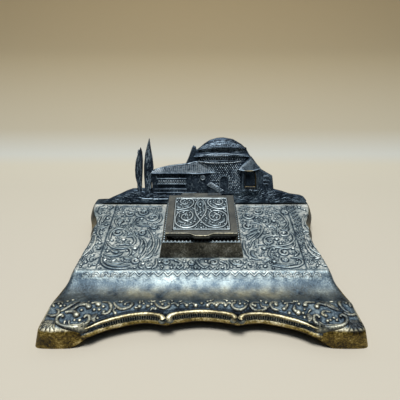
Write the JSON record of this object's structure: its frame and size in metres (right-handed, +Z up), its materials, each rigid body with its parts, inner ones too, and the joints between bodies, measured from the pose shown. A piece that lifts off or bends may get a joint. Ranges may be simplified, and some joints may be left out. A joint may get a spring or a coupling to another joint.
{
  "type": "desk inkstand",
  "caption": "Cast brass desk inkstand with a scrolled plate on corner feet, a pen trough, a square ink box with a hinged lid and a relief of buildings behind.",
  "frame": {"origin": "middle of the footprint, on the surface that the feet stand on", "axes": "+X to the right as the writer sees it, +Y to the rear, +Z up"},
  "size_m": [0.1982, 0.1422, 0.0749],
  "materials": {
    "aged_brass": "silvered cast brass, worn, with dark patina in the recesses",
    "dark_brass": "dark brown patina, satin",
    "lid_brass": "worn taupe patina, satin",
    "panel_brass": "silvered and chased, near-black lines",
    "blackened_brass": "blackened, with blue-grey highlights",
    "fastener_brass": "plain turned brass",
    "black_glass": "opaque black, glossy"
  },
  "bodies": {
    "base": {"base_plate": "aged_brass", "ink_box": "dark_brass", "ink_box_screw_front_left": "fastener_brass", "ink_box_screw_front_right": "fastener_brass", "ink_box_screw_rear_left": "fastener_brass", "ink_box_screw_rear_right": "fastener_brass", "ink_pot": "black_glass", "hinge_leaf": "dark_brass", "hinge_pin": "fastener_brass", "hinge_leaf_screw_left": "fastener_brass", "hinge_leaf_screw_right": "fastener_brass", "backdrop": "blackened_brass", "backdrop_washer_left": "fastener_brass", "backdrop_washer_middle": "fastener_brass", "backdrop_washer_right": "fastener_brass", "backdrop_nut_left": "fastener_brass", "backdrop_nut_middle": "fastener_brass", "backdrop_nut_right": "fastener_brass"},
    "lid": {"lid": "lid_brass", "lid_panel": "panel_brass"}
  },
  "joints": [
    {"name": "lid_hinge", "type": "hinge", "parent": "base", "child": "lid", "pos_m": [0, 0.041, 0.03855], "axis": [-1, 0, 0], "range_deg": [0, 115]}
  ]
}
